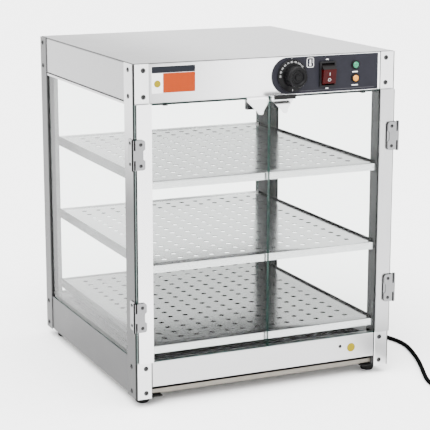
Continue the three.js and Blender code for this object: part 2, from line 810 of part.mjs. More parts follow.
function strainRelief() {
  const inside = -SHEET - CLEARANCE;
  const profile = [
    [0, inside - 2.6],
    [8, inside - 2.6],
    [8, inside],
    [6.2, inside],
    [6.2, CLEARANCE],
    [9, CLEARANCE],
    [9, 2.6],
    [7.2, 4],
    [5.2, 36],
    [0, 36],
  ];
  return lathe(profile, 24).rotateZ(-Math.PI / 2);
}

function cordCoil() {
  const inner = COIL.inner - CORD_RADIUS - CLEARANCE;
  const outer = COIL.outer + CORD_RADIUS + CLEARANCE;
  const low = 0.1;
  const section = [[inner, low], [outer, low], [outer, COIL.top], [inner, COIL.top], [inner, low]];
  return turnedZ(section, 40);
}

// Moulded three-pin plug, lying on its side with its cord end towards -Y
function plug() {
  const neck = lathe([[0, 33], [4.8, 33], [7.6, 58], [0, 58]], 16);
  const body = prismZ(
    [
      [-9, 57],
      [9, 57],
      [14, 66],
      [15, 90],
      [-15, 90],
      [-14, 66],
    ],
    [-11.5, 11.5],
  );
  const blade = (x) => box([x - 0.8, x + 0.8], [89, 107], [-3.2 - 3, 3.2 - 3]);
  const earth = new THREE.CylinderGeometry(2.4, 2.4, 21, 12).translate(0, 99.5, 6);
  return join(neck, body, blade(-6.4), blade(6.4), earth);
}

function buildCord() {
  const plugHeight = 12.3;
  add('strain_relief', strainRelief(), rubber, SKIN, CORD_EXIT.y, CORD_EXIT.z);
  add('cord', tube(CORD_ROUTE, CORD_RADIUS, 8, 36), rubber);
  add('cord_coil', cordCoil(), rubber, COIL.x, COIL.y, 0);
  add('cord_plug', plug(), rubber, COIL.x + COIL.outer, COIL.y, plugHeight);
}

buildFrame();
buildHeader();
buildBase();
buildGlass();
buildShelves();
buildDoors();
buildHinges();
buildCord();
group.position.y = -(PANEL_FRONT - KNOB.face + HALF_DEPTH) / 2;

export default group;
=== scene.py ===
"""The visual model of a countertop heated display case, dressed over its CAD frame."""
import math

import bmesh
import bpy
from mathutils import Matrix, Vector


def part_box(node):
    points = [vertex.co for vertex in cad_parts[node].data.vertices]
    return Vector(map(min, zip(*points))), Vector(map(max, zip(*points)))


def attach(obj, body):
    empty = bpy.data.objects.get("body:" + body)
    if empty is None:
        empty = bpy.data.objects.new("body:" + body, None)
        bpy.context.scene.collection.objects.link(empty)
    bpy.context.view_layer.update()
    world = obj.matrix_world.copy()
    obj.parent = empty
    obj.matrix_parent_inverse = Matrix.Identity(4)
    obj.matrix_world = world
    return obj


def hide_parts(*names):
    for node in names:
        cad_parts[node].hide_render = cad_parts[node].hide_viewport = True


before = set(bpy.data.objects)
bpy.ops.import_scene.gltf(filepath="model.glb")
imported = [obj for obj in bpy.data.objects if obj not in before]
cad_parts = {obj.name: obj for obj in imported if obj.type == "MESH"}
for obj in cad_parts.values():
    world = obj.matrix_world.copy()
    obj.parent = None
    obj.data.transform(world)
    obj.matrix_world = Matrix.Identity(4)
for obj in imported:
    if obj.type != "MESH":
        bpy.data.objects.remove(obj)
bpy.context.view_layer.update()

MM = 0.001

# Places are given in millimetres from the middle of the four posts, and moved to the row frame by case().
MIDDLE_Y = (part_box("post_front_left")[0].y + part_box("post_rear_right")[1].y) / 2
FACE = 250
FASCIA_FACE = 248.5
BASE_FACE = 249.4
FRONT = Vector((0, -1, 0))
SIDES = (("left", -1), ("right", 1))


def case(x, y, z):
    return Vector((x * MM, y * MM + MIDDLE_Y, z * MM))


def case_y(place):
    """A row-frame y in metres as a case y in millimetres."""
    return (place - MIDDLE_Y) / MM


def middle_x(node):
    """A node's middle in x, in millimetres."""
    low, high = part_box(node)
    return (low.x + high.x) / 2 / MM


# Meshes ----------------------------------------------------------------------

def make_object(name, bm, material=None, smooth=None):
    mesh = bpy.data.meshes.new(name)
    bmesh.ops.recalc_face_normals(bm, faces=bm.faces)
    bm.to_mesh(mesh)
    bm.free()
    obj = bpy.data.objects.new(name, mesh)
    bpy.context.scene.collection.objects.link(obj)
    if material:
        mesh.materials.append(material)
    if smooth is not None:
        smooth_below(mesh, smooth)
    return obj


def smooth_below(mesh, degrees):
    mesh.shade_smooth()
    mesh.set_sharp_from_angle(angle=math.radians(degrees))


def arc(u, v, radius, start, end, steps):
    angles = [math.radians(start + (end - start) * i / steps) for i in range(steps + 1)]
    return [(u + radius * math.cos(a), v + radius * math.sin(a)) for a in angles]


def rounded_rectangle(u0, u1, v0, v1, radius, steps=6):
    return (
        arc(u1 - radius, v0 + radius, radius, -90, 0, steps)
        + arc(u1 - radius, v1 - radius, radius, 0, 90, steps)
        + arc(u0 + radius, v1 - radius, radius, 90, 180, steps)
        + arc(u0 + radius, v0 + radius, radius, 180, 270, steps)
    )


def join_rings(bm, first, second):
    for i in range(len(first)):
        j = (i + 1) % len(first)
        bm.faces.new((first[i], first[j], second[j], second[i]))


def front_plate(bm, outline, back, thick, hole=None):
    """A thin plate facing the front: outline points are x and z, its back lies at y = back."""
    def ring(points, y):
        return [bm.verts.new(case(x, y, z)) for x, z in points]

    front = ring(outline, back - thick)
    rear = ring(outline, back)
    walls = [(front, rear)]
    if hole:
        inner_front = ring(hole, back - thick)
        inner_rear = ring(hole, back)
        walls.append((inner_front, inner_rear))
        join_rings(bm, front, inner_front)
        join_rings(bm, rear, inner_rear)
    else:
        bm.faces.new(front)
        bm.faces.new(rear[::-1])
    for a, b in walls:
        for i in range(len(a)):
            j = (i + 1) % len(a)
            bm.faces.new((a[i], b[i], b[j], a[j]))


def sweep(bm, section, start, end, axis):
    """A section of two coordinates pushed along one axis, in millimetres."""
    def place(point, along):
        if axis == "x":
            return case(along, point[0], point[1])
        if axis == "y":
            return case(point[0], along, point[1])
        return case(point[0], point[1], along)

    rings = [[bm.verts.new(place(p, along)) for p in section] for along in (start, end)]
    join_rings(bm, *rings)
    bm.faces.new(rings[0][::-1])
    bm.faces.new(rings[1])


def turned(bm, profile, centre, direction, steps=48):
    """Radius and height pairs turned about a direction through centre; heights run along it. Millimetres."""
    side = direction.orthogonal().normalized()
    other = direction.cross(side)
    rings = []
    for radius, height in profile:
        base = centre + direction * height * MM
        if radius < 1e-6:
            rings.append([bm.verts.new(base)])
            continue
        ring = []
        for k in range(steps):
            a = 2 * math.pi * k / steps
            ring.append(bm.verts.new(base + (side * math.cos(a) + other * math.sin(a)) * radius * MM))
        rings.append(ring)
    for low, high in zip(rings, rings[1:]):
        for k in range(steps):
            n = (k + 1) % steps
            corners = [low[k % len(low)], low[n % len(low)], high[n % len(high)], high[k % len(high)]]
            unique = list(dict.fromkeys(corners))
            if len(unique) > 2:
                bm.faces.new(unique)


def bevel(obj, width, segments=2):
    modifier = obj.modifiers.new("bevel", "BEVEL")
    modifier.width = width * MM
    modifier.segments = segments
    modifier.limit_method = "ANGLE"
    modifier.angle_limit = math.radians(40)
    modifier.harden_normals = False


# Materials -------------------------------------------------------------------

NEUTRAL = (1.0, 1.0, 1.01)
GLASS_INDEX = 1.45
EDGE_GREENS = ((0.004, 0.02, 0.016), (0.012, 0.05, 0.04))
# Painted shade on the shelves' hole walls, undersides and inner lips.
HOLE_WALL_SHADE = (0.012, 0.012, 0.013)

# A face looks a way when that part of its normal is more than this.
SQUARE_ON = 0.9
OUTWARD = 0.2

# Places in case millimetres where one look of the steel gives way to another: where painted shade starts on
# the bends, on the hole walls and inside the shelf lips, where the painted crossbar highlight starts, and
# where the painted shade low on the sides eases off.
LIP_FROM_X = 214
LIP_FROM_Y = 236
CROSSBAR_FROM_Y = 235
BEND_FROM = 247
STILE_BEND_FROM = 246.2
SIDE_DARK_BELOW = 340
SIDE_LIGHT_ABOVE = 540


class Shader:
    """A material and short names for the nodes that this model uses."""

    def __init__(self, name):
        self.material = bpy.data.materials.new(name)
        self.material.use_nodes = True
        self.tree = self.material.node_tree
        self.tree.nodes.clear()
        self.output = self.node("ShaderNodeOutputMaterial")

    def node(self, kind, inputs=None, **settings):
        node = self.tree.nodes.new(kind)
        for key, value in settings.items():
            setattr(node, key, value)
        for key, value in (inputs or {}).items():
            if isinstance(value, bpy.types.NodeSocket):
                self.tree.links.new(value, node.inputs[key])
            else:
                node.inputs[key].default_value = value
        return node

    def coordinates(self, scale=(1, 1, 1)):
        place = self.node("ShaderNodeTexCoord").outputs["Object"]
        return self.node("ShaderNodeMapping", {"Vector": place, "Scale": scale}).outputs[0]

    def place(self):
        """The three outputs X, Y and Z of the place on the object."""
        return self.node("ShaderNodeSeparateXYZ", {0: self.coordinates()}).outputs

    def facing(self, kind="Normal"):
        """The three outputs X, Y and Z of the way that the face looks, in the object's own frame."""
        normal = self.node("ShaderNodeNewGeometry").outputs[kind]
        local = self.node(
            "ShaderNodeVectorTransform", {0: normal}, convert_from="WORLD", convert_to="OBJECT"
        )
        return self.node("ShaderNodeSeparateXYZ", {0: local.outputs[0]}).outputs

    def noise(self, scale, stretch=(1, 1, 1), detail=4.0):
        inputs = {"Vector": self.coordinates(stretch), "Scale": scale, "Detail": detail, "Roughness": 0.6}
        return self.node("ShaderNodeTexNoise", inputs).outputs["Fac"]

    def between(self, value, low, high):
        inputs = {"Value": value, "From Min": 0.25, "From Max": 0.75, "To Min": low, "To Max": high}
        return self.node("ShaderNodeMapRange", inputs).outputs["Result"]

    def ease(self, value, start, end, low, high):
        inputs = {"Value": value, "From Min": start, "From Max": end, "To Min": low, "To Max": high}
        return self.node("ShaderNodeMapRange", inputs, interpolation_type="SMOOTHSTEP").outputs["Result"]

    def math(self, operation, a, b=0.0):
        return self.node("ShaderNodeMath", {0: a, 1: b}, operation=operation).outputs[0]

    def above(self, value, limit):
        return self.math("GREATER_THAN", value, limit)

    def size(self, value):
        return self.math("ABSOLUTE", value)

    def product(self, a, b):
        return self.math("MULTIPLY", a, b)

    def either(self, a, b):
        return self.math("MAXIMUM", a, b)

    def away(self, place, way):
        """How far the component way points away from the case's middle, where place is its coordinate."""
        return self.product(self.math("SIGN", place), way)

    def scaled(self, colour, factor):
        inputs = {0: colour, "Scale": factor}
        return self.node("ShaderNodeVectorMath", inputs, operation="SCALE").outputs[0]

    def choose(self, factor, first, second):
        """The shader second where factor is 1, and first where it is 0."""
        inputs = {0: factor, 1: first.outputs[0], 2: second.outputs[0]}
        return self.node("ShaderNodeMixShader", inputs)

    def mix(self, factor, a, b):
        node = self.node("ShaderNodeMix", {"Factor": factor}, data_type="RGBA")
        for key, value in (("A", a), ("B", b)):
            socket = [s for s in node.inputs if s.name == key and s.type == "RGBA"][0]
            if isinstance(value, bpy.types.NodeSocket):
                self.tree.links.new(value, socket)
            else:
                socket.default_value = (*value, 1)
        return [s for s in node.outputs if s.type == "RGBA"][0]

    def bump(self, height, strength, distance):
        inputs = {"Height": height, "Strength": strength, "Distance": distance}
        return self.node("ShaderNodeBump", inputs).outputs["Normal"]

    def surface(self, shader):
        self.tree.links.new(shader.outputs[0], self.output.inputs["Surface"])
        return self.material

    def principled(self, **inputs):
        named = {key.replace("_", " ").title().replace("Ior", "IOR"): value for key, value in inputs.items()}
        return self.node("ShaderNodeBsdfPrincipled", named)


def grey(level):
    return (level, level, level * 1.01)


def brushed_steel(name, level, roughness, stretch, streak=0.05, grain=0.15, edge=1.0, tint=NEUTRAL):
    """Stainless steel with fine brushed lines; stretch is small along the lines."""
    s = Shader(name)
    lines = s.noise(1.0, stretch, detail=3.0)
    clouds = s.noise(9.0, detail=3.0)
    darker = tuple(level * (1 - streak) * t for t in tint)
    colour = s.mix(s.between(lines, 0.0, 1.0), darker, tuple(level * t for t in tint))
    patches = s.between(clouds, roughness * 0.9, roughness * 1.12)
    rough = s.math("ADD", patches, s.between(lines, -0.02, 0.03))
    shader = s.principled(
        base_color=colour, metallic=1.0, roughness=rough, normal=s.bump(lines, grain, 0.0001),
        specular_tint=(edge, edge, edge, 1),
    )
    return s.surface(shader)


def moulded(name, colour, roughness, grain=0.3, scale=2500.0, shine=0.1):
    s = Shader(name)
    speckle = s.noise(scale, detail=2.0)
    wear = s.noise(60.0, detail=5.0)
    lighter = tuple(c * 1.5 + 0.001 for c in colour)
    shader = s.principled(
        base_color=s.mix(s.between(wear, 0.0, 0.5), colour, lighter), specular_ior_level=shine,
        roughness=s.between(wear, roughness * 0.85, roughness * 1.15),
        normal=s.bump(speckle, grain, 0.00005),
    )
    return s.surface(shader)


def printed(name, colour, roughness=0.45):
    s = Shader(name)
    ink = s.noise(700.0, detail=3.0)
    darker = tuple(c * 0.9 for c in colour)
    shader = s.principled(
        base_color=s.mix(s.between(ink, 0.0, 1.0), darker, colour), specular_ior_level=0.1,
        roughness=s.between(ink, roughness - 0.05, roughness + 0.08),
    )
    return s.surface(shader)


def sheet_glass(name, axis, quiet=0.03):
    """Clear float glass, green on its cut edges. axis is its normal; quiet is taken off its reflection."""
    s = Shader(name)
    on_face = s.above(s.size(s.facing()[axis]), 0.5)
    haze = s.noise(5.0, detail=4.0)
    gloss = {"Color": (1, 1, 1, 1), "Roughness": s.between(haze, 0.01, 0.035)}
    mirror = s.node("ShaderNodeBsdfGlossy", gloss)
    clear = s.node("ShaderNodeBsdfTransparent", {"Color": (0.975, 0.985, 0.98, 1)})
    behind = s.node("ShaderNodeNewGeometry").outputs["Backfacing"]
    index = s.math("ADD", GLASS_INDEX, s.product(behind, 1 / GLASS_INDEX - GLASS_INDEX))
    fresnel = s.node("ShaderNodeFresnel", {"IOR": index}).outputs[0]
    fresnel = s.either(s.math("SUBTRACT", fresnel, quiet), 0.0)
    pane = s.choose(fresnel, clear, mirror)
    ground = s.noise(400.0, detail=3.0)
    edge = s.principled(
        base_color=s.mix(s.between(ground, 0.0, 1.0), *EDGE_GREENS), roughness=0.2, specular_ior_level=0.2,
    )
    return s.surface(s.choose(on_face, edge, pane))


def two_tone(name, test, first, second):
    """A material that is first where test(shader, x, y, z) is 0 and second where it is 1."""
    s = Shader(name)
    which = test(s, *s.place())
    clouds = s.noise(60.0, detail=4.0)
    normal = s.bump(s.noise(1200.0, detail=2.0), 0.12, 0.00005)
    made = []
    for options in (first, second):
        rough = options["roughness"]
        varied = {**options, "roughness": s.between(clouds, rough * 0.85, rough * 1.15), "normal": normal}
        made.append(s.principled(**varied))
    return s.surface(s.choose(which, *made))


def case_steel(name, stretch, front, side, top, inner=0.03, bend_shade=0.008, fade=1.0, low=None, edge=1.0,
               bend_from=BEND_FROM):
    """Brushed sheet bent round the case, with a painted level of light for each way a face looks.

    The front, side and top levels are lit and shaded copies of one steel. inner is painted shade on faces
    that look inwards, and the bends' level, from bend_from on, is a painted dark reflection.
    fade is how much is left on faces at the far left, under a painted shade that eases off towards the
    middle. low is painted shade on the sides beside the glass, low down.
    """
    s = Shader(name)
    place = s.place()
    facing = s.facing()
    depth = s.math("SUBTRACT", place["Y"], MIDDLE_Y)
    across = s.away(place["X"], facing["X"])
    along = s.away(depth, facing["Y"])
    at_front = s.above(along, SQUARE_ON)
    at_side = s.above(across, SQUARE_ON)
    at_top = s.above(s.size(facing["Z"]), SQUARE_ON)
    turned_out = s.above(s.either(across, along), OUTWARD)
    nearest = s.math("MINIMUM", s.size(place["X"]), s.size(depth))
    at_bend = s.above(nearest, bend_from * MM)
    beside = s.ease(place["Z"], SIDE_DARK_BELOW * MM, SIDE_LIGHT_ABOVE * MM, 0.0, 1.0)
    lines = s.noise(1.0, stretch, detail=3.0)
    clouds = s.noise(5.0, detail=3.0)
    streaks = s.product(s.between(lines, 0.96, 1.04), s.between(clouds, 0.95, 1.05))
    # Painted shade towards the far left, then painted light and shade for each way a face looks: shade on
    # inner faces and bends, and low on the sides.
    shade_to_left = s.ease(place["X"], -FACE * MM, 0.0, fade, 1.0)
    colour = s.mix(turned_out, grey(inner), grey(bend_shade))
    colour = s.mix(at_side, colour, s.mix(beside, grey(low or side), grey(side)))
    colour = s.mix(at_front, colour, grey(front))
    colour = s.mix(at_bend, colour, grey(bend_shade))
    colour = s.mix(at_top, colour, grey(top))
    upright = s.product(s.either(at_front, at_side), s.math("SUBTRACT", 1.0, at_bend))
    shader = s.principled(
        base_color=s.scaled(colour, s.product(streaks, shade_to_left)), metallic=s.either(at_top, upright),
        roughness=s.between(clouds, 0.22, 0.3), specular_ior_level=0.06,
        specular_tint=(edge, edge, edge, 1), normal=s.bump(lines, 0.15, 0.0001)
    )
    return s.surface(shader)


def shelf_steel(name, level, lip):
    """Polished sheet: light on its flat and outer lips, with painted shade beneath, inside its lips and on
    hole walls.
    """
    s = Shader(name)
    place = s.place()
    facing = s.facing("True Normal")
    depth = s.math("SUBTRACT", place["Y"], MIDDLE_Y)
    across = s.away(place["X"], facing["X"])
    along = s.away(depth, facing["Y"])
    outward = s.above(s.either(across, along), OUTWARD)
    beside = s.above(s.size(place["X"]), LIP_FROM_X * MM)
    beyond = s.above(s.size(depth), LIP_FROM_Y * MM)
    at_lip = s.product(outward, s.either(beside, beyond))
    flat = s.above(facing["Z"], 0.5)
    lines = s.noise(1.0, ALONG_X, detail=3.0)
    clouds = s.noise(6.0, detail=3.0)
    colour = s.mix(flat, s.mix(at_lip, HOLE_WALL_SHADE, grey(lip)), grey(level))
    streaks = s.product(s.between(lines, 0.98, 1.02), s.between(clouds, 0.96, 1.04))
    shader = s.principled(
        base_color=s.scaled(colour, streaks), metallic=s.either(flat, at_lip),
        roughness=s.between(clouds, 0.15, 0.2), specular_ior_level=0.06, normal=s.bump(lines, 0.05, 0.0001)
    )
    return s.surface(shader)


def rail_steel(name, side, back):
    """A shelf rail: grey on its outer sides, with a painted highlight on the faces of its crossbar and
    painted shade in black elsewhere.
    """
    s = Shader(name)
    place = s.place()
    facing = s.facing()
    outer = s.above(s.away(place["X"], facing["X"]), SQUARE_ON)
    at_back = s.above(place["Y"], case(0, CROSSBAR_FROM_Y, 0).y)
    forward = s.product(at_back, s.above(s.size(facing["Y"]), SQUARE_ON))
    lines = s.noise(1.0, ALONG_Y, detail=3.0)
    colour = s.mix(outer, (0.003, 0.003, 0.003), (side, side * 1.03, side * 1.07))
    colour = s.mix(forward, colour, (back, back, back))
    shader = s.principled(
        base_color=colour, metallic=s.either(outer, forward), roughness=s.between(lines, 0.25, 0.32),
        specular_ior_level=0.05, specular_tint=(0.8, 0.8, 0.8, 1), normal=s.bump(lines, 0.02, 0.0001)
    )
    return s.surface(shader)


VERTICAL = (1400.0, 1400.0, 9.0)
ALONG_X = (9.0, 1400.0, 1400.0)
ALONG_Y = (1400.0, 9.0, 1400.0)
EVEN = (300.0, 300.0, 300.0)
SPANGLE = (60.0, 60.0, 60.0)

# Black finish; on the flanks of the hinge knuckles it is painted shade.
BLACK_AND_SHADE = {"base_color": (0.003, 0.003, 0.003, 1), "roughness": 0.5, "specular_ior_level": 0.05}

# The posts, header and stiles are one steel with painted light: their levels are lit and shaded copies,
# darker on the right stile and the rear posts.
steel_post_front = case_steel("steel_post_front", VERTICAL, 0.6, 0.46, 0.3, inner=0.045, low=0.03, edge=0.85)
steel_post_rear = case_steel("steel_post_rear", VERTICAL, 0.3, 0.035, 0.2, inner=0.1, edge=0.8)
steel_header = case_steel("steel_header_shell", ALONG_X, 0.74, 0.44, 0.58, fade=0.45)
steel_rail = rail_steel("steel_shelf_rail", 0.035, 0.9)
STILE = {"inner": 0.3, "bend_shade": 0.03, "bend_from": STILE_BEND_FROM}
steel_stile_left = case_steel("steel_stile_left", VERTICAL, 0.7, 0.5, 0.4, **STILE)
steel_stile_right = case_steel("steel_stile_right", VERTICAL, 0.36, 0.4, 0.4, **STILE)
steel_across = brushed_steel("steel_brushed_across", 0.46, 0.3, ALONG_X)
# The base sides are this steel darkened as painted shade.
steel_side_shaded = brushed_steel("steel_brushed_side_shaded", 0.05, 0.3, ALONG_Y, edge=0.8)
steel_channel = brushed_steel("steel_glazing_channel", 0.35, 0.3, ALONG_Y)
steel_bright = brushed_steel("steel_polished", 0.82, 0.16, ALONG_X, streak=0.02, grain=0.05)
steel_deck = brushed_steel("steel_polished_deck", 0.2, 0.12, ALONG_X, streak=0.03, grain=0.03, edge=0.3)
steel_dark = brushed_steel("steel_heat_tinted", 0.3, 0.35, ALONG_X)
galvanised = brushed_steel("steel_galvanised", 0.17, 0.42, SPANGLE, streak=0.2, tint=(1.0, 0.93, 0.8))
screw_steel = brushed_steel("screw_steel", 0.03, 0.18, EVEN, edge=0.6)
black_plastic = moulded("plastic_black", (0.004, 0.004, 0.0045), 0.42)
knob_plastic = moulded("plastic_knob", (0.0012, 0.0012, 0.0014), 0.34, shine=0.08)
rubber = moulded("rubber_black", (0.004, 0.004, 0.004), 0.7, grain=0.5)
cable = moulded("cable_black", (0.002, 0.002, 0.002), 0.5, grain=0.2, shine=0.0)
panel_film = moulded("panel_film", (0.0075, 0.0075, 0.0105), 0.45, grain=0.15, shine=0.07)
ceramic = moulded("ceramic_white", (0.6, 0.57, 0.5), 0.35, shine=0.5)
white_ink = printed("ink_white", (0.62, 0.62, 0.62))
dial_ink = printed("ink_dial", (0.34, 0.34, 0.34))
grey_ink = printed("ink_grey", (0.06, 0.06, 0.065))
orange_ink = printed("ink_orange", (0.2, 0.022, 0.0003))
yellow_ink = printed("ink_yellow", (0.17, 0.13, 0.0006))
dark_ink = printed("ink_dark", (0.004, 0.005, 0.008))
recess_shade = moulded("screw_recess_shade", (0.002, 0.002, 0.002), 0.6)
brass = brushed_steel("brass_pins", 0.7, 0.25, ALONG_Y)


# Camera, light and floor -----------------------------------------------------

CAMERA_PLACE = (-1146.2, -2589.4, 903.4)
CAMERA_DOWN = 12.576
CAMERA_TURN = -24.072
CAMERA_LENS = 127.4
WORLD_REACH = 0.8
WORLD_BRIGHT = 4.2
WORLD_DIM = 2.5


def build_camera():
    data = bpy.data.cameras.new("camera")
    data.sensor_width = 36
    data.lens = CAMERA_LENS
    data.clip_end = 200
    camera = bpy.data.objects.new("camera", data)
    camera.location = case(*CAMERA_PLACE)
    camera.rotation_euler = (math.radians(90 - CAMERA_DOWN), 0, math.radians(CAMERA_TURN))
    bpy.context.scene.collection.objects.link(camera)
    bpy.context.scene.camera = camera


def build_world():
    world = bpy.data.worlds.new("studio")
    world.use_nodes = True
    bpy.context.scene.world = world
    tree = world.node_tree
    background = tree.nodes["Background"]
    place = tree.nodes.new("ShaderNodeTexCoord")
    parts = tree.nodes.new("ShaderNodeSeparateXYZ")
    spread = tree.nodes.new("ShaderNodeMapRange")
    tree.links.new(place.outputs["Generated"], parts.inputs[0])
    tree.links.new(parts.outputs["Y"], spread.inputs["Value"])
    limits = {"From Min": -WORLD_REACH, "From Max": WORLD_REACH, "To Min": WORLD_BRIGHT, "To Max": WORLD_DIM}
    for key, value in limits.items():
        spread.inputs[key].default_value = value
    background.inputs["Color"].default_value = (1, 1, 1, 1)
    tree.links.new(spread.outputs["Result"], background.inputs["Strength"])


def sun_light(name, direction, angle, power):
    data = bpy.data.lights.new(name, "SUN")
    data.angle = math.radians(angle)
    data.energy = power
    light = bpy.data.objects.new(name, data)
    light.rotation_euler = Vector(direction).to_track_quat("-Z", "Y").to_euler()
    bpy.context.scene.collection.objects.link(light)


def area_light(name, place, target, size, power):
    data = bpy.data.lights.new(name, "AREA")
    data.shape = "RECTANGLE"
    data.size = size[0]
    data.size_y = size[1]
    data.energy = power
    light = bpy.data.objects.new(name, data)
    light.location = place
    light.rotation_euler = (Vector(target) - Vector(place)).to_track_quat("-Z", "Y").to_euler()
    bpy.context.scene.collection.objects.link(light)


def build_stage():
    bm = bmesh.new()
    bmesh.ops.create_grid(bm, x_segments=8, y_segments=8, size=40)
    floor = make_object("floor", bm)
    s = Shader("floor_paper")
    fibre = s.between(s.noise(40.0, detail=4.0), 0, 1)
    paper = s.mix(fibre, (0.9, 0.9, 0.9), (0.93, 0.93, 0.93))
    floor.data.materials.append(s.surface(s.principled(base_color=paper, roughness=0.8)))
    sun_light("overhead", (0.25, 0.35, -1.0), 60, 8.0)
    area_light("key", (-1.5, -2.4, 2.2), (0, 0, 0.4), (1.0, 1.0), 30)


# Cord ------------------------------------------------------------------------

CORD_RADIUS = 4.0
CORD_ROUTE = [
    (285.3, 150, 50), (300, 150, 48.8), (314, 148.5, 44.5), (327, 144.5, 37), (338, 137, 28), (346, 126, 19),
    (350, 112, 11.5), (351, 96, 6.4), (350, 78, 4.3), (348, 52, 4.1), (346, 22, 4.1), (346, -10, 4.1),
    (348.5, -42, 4.1), (355.5, -72, 4.1), (361.5, -98, 4.1), (362, -128, 4.1), (355.5, -158, 4.1),
    (345, -192, 4.1), (332, -228, 4.1), (317.5, -262, 4.1), (303, -294, 4.1), (290.5, -324, 4.1),
    (283.5, -352, 4.1), (282, -381.5, 4.1),
]
COIL_CENTRE = (334.0, -415.0)
COIL_OUTER = 52.0
COIL_INNER = 44.0
COIL_TURNS = 3.5
LAYERS = (4.1, 12.3)
PLUG_BODY = [(-8, 56), (8, 56), (13.5, 66), (14.8, 89.8), (-14.8, 89.8), (-13.5, 66)]
PLUG_THICK = 22
PLUG_NECK = [
    (0, 33.2), (4.7, 33.2), (5.2, 38), (4.7, 39), (5.7, 43), (5.2, 44), (6.3, 48), (5.8, 49),
    (7.2, 57), (0, 57),
]
BLADE_SPACING = 6.4
BLADE_HALF = 0.7
BLADE_HEIGHT = 6
BLADE_ENDS = (88, 107)
EARTH_PIN = [(0, 88), (2.3, 88), (2.3, 108), (1.4, 109.8), (0, 110)]


def smooth_route(points, steps):
    """A centripetal Catmull-Rom curve through the points."""
    p = [Vector(q) for q in points]
    p = [2 * p[0] - p[1]] + p + [2 * p[-1] - p[-2]]
    route = []
    for a, b, c, d in zip(p, p[1:], p[2:], p[3:]):
        t0 = 0.0
        t1 = t0 + math.sqrt((b - a).length)
        t2 = t1 + math.sqrt((c - b).length)
        t3 = t2 + math.sqrt((d - c).length)
        for i in range(steps):
            t = t1 + (t2 - t1) * i / steps
            first = a * (t1 - t) / (t1 - t0) + b * (t - t0) / (t1 - t0)
            second = b * (t2 - t) / (t2 - t1) + c * (t - t1) / (t2 - t1)
            third = c * (t3 - t) / (t3 - t2) + d * (t - t2) / (t3 - t2)
            left = first * (t2 - t) / (t2 - t0) + second * (t - t0) / (t2 - t0)
            right = second * (t3 - t) / (t3 - t1) + third * (t - t1) / (t3 - t1)
            route.append(left * (t2 - t) / (t2 - t1) + right * (t - t1) / (t2 - t1))
    route.append(p[-2])
    return route


def coil_point(turn):
    """Two turns side by side, then the rest on top of them; steps in and up share one quarter turn."""
    width = COIL_OUTER - COIL_INNER
    rise = LAYERS[1] - LAYERS[0]

    def quarter(start):
        return min(max((turn - start) * 4, 0.0), 1.0) * math.pi / 2

    radius = COIL_INNER + width * math.cos(quarter(0.75)) + width * math.sin(quarter(2.5))
    height = LAYERS[0] + rise * math.sin(quarter(1.75))
    angle = math.pi + 2 * math.pi * turn
    x = COIL_CENTRE[0] + radius * math.cos(angle)
    y = COIL_CENTRE[1] + radius * math.sin(angle)
    return Vector((x, y, height))


def cord_points():
    inside = [Vector((258.0, 150.0, 50.0)), Vector((272.0, 150.0, 50.0))]
    route = inside + smooth_route(CORD_ROUTE, 4)
    route += [Vector((COIL_CENTRE[0] - COIL_OUTER, y, LAYERS[0])) for y in (-390.0, -402.0)]
    count = round(COIL_TURNS * 36)
    route += [coil_point(COIL_TURNS * i / count) for i in range(count + 1)]
    end = route[-1]
    route += [Vector((end.x, end.y + along, end.z)) for along in (12.0, 24.0, 38.0)]
    return [case(*p) for p in route]


def build_cord():
    points = cord_points()
    curve = bpy.data.curves.new("mains_cord", "CURVE")
    curve.dimensions = "3D"
    curve.bevel_depth = CORD_RADIUS * MM
    curve.bevel_resolution = 6
    curve.use_fill_caps = True
    spline = curve.splines.new("POLY")
    spline.points.add(len(points) - 1)
    for slot, point in zip(spline.points, points):
        slot.co = (*point, 1)
    cord = bpy.data.objects.new("mains_cord", curve)
    bpy.context.scene.collection.objects.link(cord)
    curve.materials.append(cable)
    plug = build_plug()
    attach(cord, "case")
    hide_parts("cord", "cord_coil")


def build_plug():
    """The moulded plug at the cord's end: body, tapered neck and three pins."""
    x = COIL_CENTRE[0] + COIL_OUTER
    y = COIL_CENTRE[1]
    z = LAYERS[1]
    bm = bmesh.new()
    section = [(x + u, y + v) for u, v in PLUG_BODY]
    sweep(bm, section, z - PLUG_THICK / 2, z + PLUG_THICK / 2, "z")
    turned(bm, PLUG_NECK, case(x, y, z), -FRONT, 24)
    body = make_object("plug_body", bm, cable, 40)
    bevel(body, 1.6, 3)
    bm = bmesh.new()
    for middle in (x - BLADE_SPACING, x + BLADE_SPACING):
        left, right = middle - BLADE_HALF, middle + BLADE_HALF
        blade = [(left, z - BLADE_HEIGHT), (right, z - BLADE_HEIGHT), (right, z), (left, z)]
        sweep(bm, blade, y + BLADE_ENDS[0], y + BLADE_ENDS[1], "y")
    turned(bm, EARTH_PIN, case(x, y, z + BLADE_HEIGHT), -FRONT, 20)
    pins = make_object("plug_pins", bm, brass, 40)
    bevel(pins, 0.25)
    for piece in (body, pins):
        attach(piece, "case")
    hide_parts("cord_plug")
    return body


# Screws ----------------------------------------------------------------------

# Where the screws stand, in case millimetres; HINGE_RISE is above and below a hinge's middle.
SCREW_LEVELS = (588.2, 543.9, 71.0, 26.6)
SCREW_FRONT_X = 231.5
SCREW_SIDE_Y = (-227, 235)
HINGE_DOOR_X = 241
HINGE_FRAME = (251.6, -237)
HINGE_RISE = 18
BASE_SCREW = (149.7, -BASE_FACE, 62.6)


